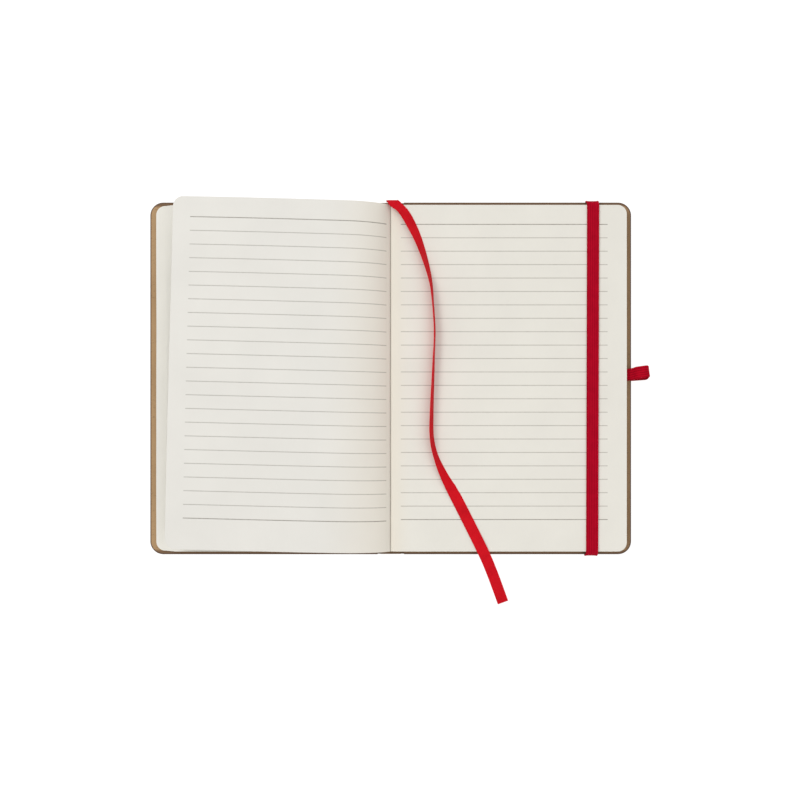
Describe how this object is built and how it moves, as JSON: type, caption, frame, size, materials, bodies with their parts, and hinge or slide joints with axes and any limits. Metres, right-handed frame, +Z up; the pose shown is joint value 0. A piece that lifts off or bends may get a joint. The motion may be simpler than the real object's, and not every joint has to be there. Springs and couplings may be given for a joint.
{
  "type": "pocket notebook",
  "caption": "Open pocket notebook with kraft-covered boards, ruled cream leaves, red elastic closure band, ribbon bookmark and an elastic pen loop on the fore-edge.",
  "frame": {"origin": "centre of the spine's underside, on the surface the open notebook lies on", "axes": "+X from the spine to the back cover's fore-edge, +Y from tail to head, +Z up"},
  "size_m": [0.199, 0.1647, 0.0137],
  "materials": {
    "page_paper": "matte uncoated",
    "kraft_paper": "matte",
    "grey_board": "matte",
    "lining_gauze": "open weave",
    "red_elastic": "ribbed elastic webbing",
    "red_ribbon": "satin weave"
  },
  "bodies": {
    "back_cover": {"back_board": "grey_board", "back_kraft_covering": "kraft_paper", "back_endpaper": "page_paper", "right_section_1": "page_paper", "pen_loop": "red_elastic", "band_end_head": "red_elastic", "band_end_tail": "red_elastic"},
    "spine": {"spine_card": "kraft_paper", "spine_lining": "lining_gauze", "back_hinge_strip": "kraft_paper", "front_hinge_strip": "kraft_paper"},
    "front_cover": {"front_board": "grey_board", "front_kraft_covering": "kraft_paper", "front_endpaper": "page_paper", "left_section_1": "page_paper"},
    "elastic_band": {"band_run": "red_elastic", "band_leg_head": "red_elastic", "band_leg_tail": "red_elastic"},
    "right_leaves_2": {"right_section_2": "page_paper"},
    "right_leaves_3": {"right_section_3": "page_paper"},
    "right_leaves_4": {"right_section_4": "page_paper", "ribbon_bookmark": "red_ribbon"},
    "left_leaves_2": {"left_section_2": "page_paper"},
    "left_leaves_3": {"left_section_3": "page_paper"},
    "left_leaves_4": {"left_section_4": "page_paper", "loose_leaf": "page_paper"}
  },
  "joints": [
    {"name": "spine_hinge", "type": "hinge", "parent": "back_cover", "child": "spine", "pos_m": [0.00465, 0, 0.0009], "axis": [0, 1, 0], "range_deg": [0, 90], "deforming": ["back_hinge_strip", "front_hinge_strip", "ribbon_bookmark", "loose_leaf"]},
    {"name": "front_cover_hinge", "type": "hinge", "parent": "spine", "child": "front_cover", "pos_m": [-0.00465, 0, 0.0009], "axis": [0, 1, 0], "range_deg": [0, 90]},
    {"name": "band_stretch", "type": "slide", "parent": "back_cover", "child": "elastic_band", "axis": [1, 0, 0], "range_m": [0, 0.02], "stiffness_N_per_m": 15, "deforming": ["band_leg_head", "band_leg_tail"]},
    {"name": "right_leaves_2_squaring", "type": "slide", "parent": "back_cover", "child": "right_leaves_2", "axis": [1, 0, 0], "range_m": [0, 0.0008177]},
    {"name": "right_leaves_3_squaring", "type": "slide", "parent": "back_cover", "child": "right_leaves_3", "axis": [1, 0, 0], "range_m": [0, 0.00163]},
    {"name": "right_leaves_4_squaring", "type": "slide", "parent": "back_cover", "child": "right_leaves_4", "axis": [1, 0, 0], "range_m": [0, 0.00245]},
    {"name": "left_leaves_2_squaring", "type": "slide", "parent": "front_cover", "child": "left_leaves_2", "axis": [-1, 0, 0], "range_m": [0, 0.00148]},
    {"name": "left_leaves_3_squaring", "type": "slide", "parent": "front_cover", "child": "left_leaves_3", "axis": [-1, 0, 0], "range_m": [0, 0.00297]},
    {"name": "left_leaves_4_squaring", "type": "slide", "parent": "front_cover", "child": "left_leaves_4", "axis": [-1, 0, 0], "range_m": [0, 0.00445]}
  ],
  "couplings": [
    {"joint": "front_cover_hinge", "follows": "spine_hinge", "ratio": 1},
    {"joint": "right_leaves_2_squaring", "follows": "spine_hinge", "m_per_rad": 0.00051991},
    {"joint": "right_leaves_3_squaring", "follows": "spine_hinge", "m_per_rad": 0.0010398},
    {"joint": "right_leaves_4_squaring", "follows": "spine_hinge", "m_per_rad": 0.0015597},
    {"joint": "left_leaves_2_squaring", "follows": "spine_hinge", "m_per_rad": 0.00094432},
    {"joint": "left_leaves_3_squaring", "follows": "spine_hinge", "m_per_rad": 0.0018886},
    {"joint": "left_leaves_4_squaring", "follows": "spine_hinge", "m_per_rad": 0.002833}
  ]
}
